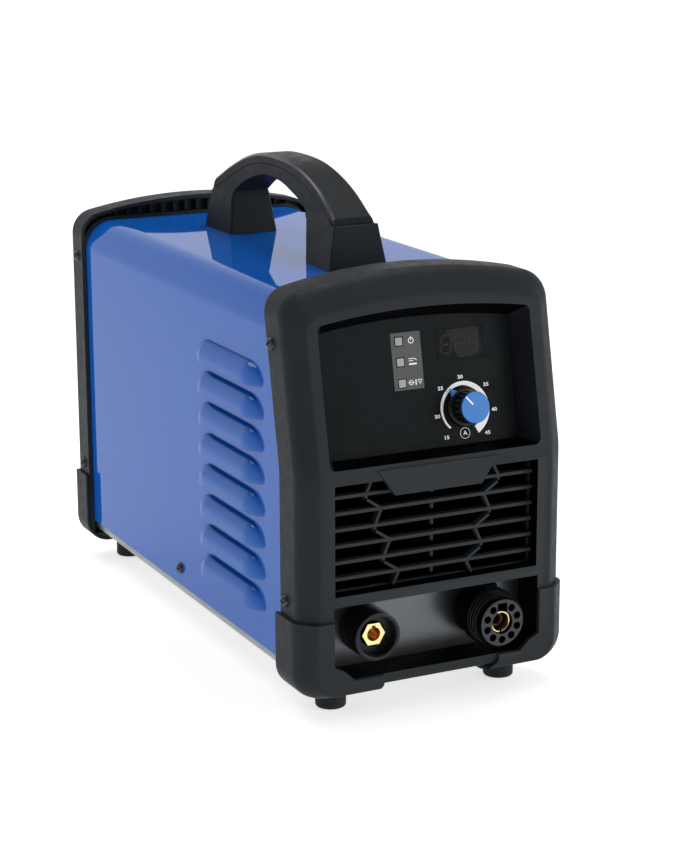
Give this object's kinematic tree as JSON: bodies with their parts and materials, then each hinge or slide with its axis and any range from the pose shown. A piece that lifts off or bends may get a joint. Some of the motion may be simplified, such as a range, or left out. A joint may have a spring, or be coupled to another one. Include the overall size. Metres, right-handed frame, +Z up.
{
  "type": "plasma cutter unit",
  "caption": "Portable inverter plasma cutter unit with a louvred sheet metal cover, moulded front and rear frames, top handle, leaning control panel and recessed output sockets.",
  "frame": {"origin": "under the middle of the unit, on the surface the feet stand on", "axes": "+X to the right seen from the front, +Y from the control face to the rear, +Z up"},
  "size_m": [0.23, 0.485, 0.3848],
  "materials": {
    "moulded_charcoal": "fine grained moulded plastic, satin",
    "handle_plastic": "smooth satin moulded plastic",
    "black_plastic": "satin black plastic",
    "blue_plastic": "satin blue plastic",
    "panel_film": "printed film on a flat panel",
    "smoked_window": "smoked display window",
    "led_lens": "frosted grey lens",
    "blue_paint": "glossy blue powder coat on sheet steel",
    "black_paint": "satin black powder coat",
    "zinc_sheet": "bare zinc plated sheet steel",
    "steel": "plated steel",
    "dark_screw": "black oxide screws",
    "brass": "machined brass",
    "aluminium": "extruded aluminium",
    "copper": "enamelled copper windings",
    "circuit_board": "green circuit board",
    "rubber": "black rubber"
  },
  "bodies": {
    "housing": {"air_filter_regulator": "aluminium", "air_inlet_fitting": "brass", "base_tray": "zinc_sheet", "bumper_front_left": "moulded_charcoal", "bumper_front_right": "moulded_charcoal", "bumper_rear_left": "moulded_charcoal", "bumper_rear_right": "moulded_charcoal", "capacitor_1": "black_plastic", "capacitor_2": "black_plastic", "capacitor_board": "circuit_board", "connector_plate": "moulded_charcoal", "control_board": "circuit_board", "control_panel": "panel_film", "cover_shell": "blue_paint", "current_potentiometer": "steel", "display_module": "black_plastic", "display_window": "smoked_window", "earth_stud": "steel", "fan_guard": "steel", "fan_housing": "black_plastic", "foot_front_left": "rubber", "foot_front_right": "rubber", "foot_rear_left": "rubber", "foot_rear_right": "rubber", "front_bezel": "moulded_charcoal", "front_grille": "moulded_charcoal", "ground_socket_body": "black_plastic", "ground_socket_contact": "brass", "handle_body": "handle_plastic", "handle_grip": "handle_plastic", "heatsink": "aluminium", "led_air_pressure": "led_lens", "led_fault": "led_lens", "led_power": "led_lens", "main_transformer": "copper", "mains_gland_body": "black_plastic", "mains_gland_nut": "black_plastic", "mains_switch_housing": "black_plastic", "pfc_inductor": "copper", "power_board": "circuit_board", "rear_frame": "moulded_charcoal", "rear_panel": "black_paint", "screw_cover_lower_left": "dark_screw", "screw_cover_lower_right": "dark_screw", "screw_front_lower_left": "dark_screw", "screw_front_lower_right": "dark_screw", "screw_front_upper_left": "dark_screw", "screw_front_upper_right": "dark_screw", "screw_rear_lower_left": "dark_screw", "screw_rear_lower_right": "dark_screw", "screw_rear_upper_left": "dark_screw", "screw_rear_upper_right": "dark_screw", "solenoid_valve": "brass", "torch_socket_body": "moulded_charcoal", "torch_socket_contact": "brass"},
    "current_knob": {"knob_body": "black_plastic", "knob_cap": "blue_plastic", "knob_spindle": "steel"},
    "fan": {"fan_rotor": "black_plastic"},
    "mains_rocker": {"mains_switch_rocker": "black_plastic"}
  },
  "joints": [
    {"name": "current_knob_turn", "type": "hinge", "parent": "housing", "child": "current_knob", "pos_m": [0.0368, -0.22052, 0.22328], "axis": [0, 0.9792, -0.2027], "range_deg": [-100, 180]},
    {"name": "fan_spin", "type": "hinge", "parent": "housing", "child": "fan", "pos_m": [0, 0.2082, 0.196], "axis": [0, 1, 0], "continuous": true},
    {"name": "mains_rocker_tilt", "type": "hinge", "parent": "housing", "child": "mains_rocker", "pos_m": [0.062, 0.221, 0.082], "axis": [1, 0, 0], "range_deg": [-18, 0]}
  ]
}
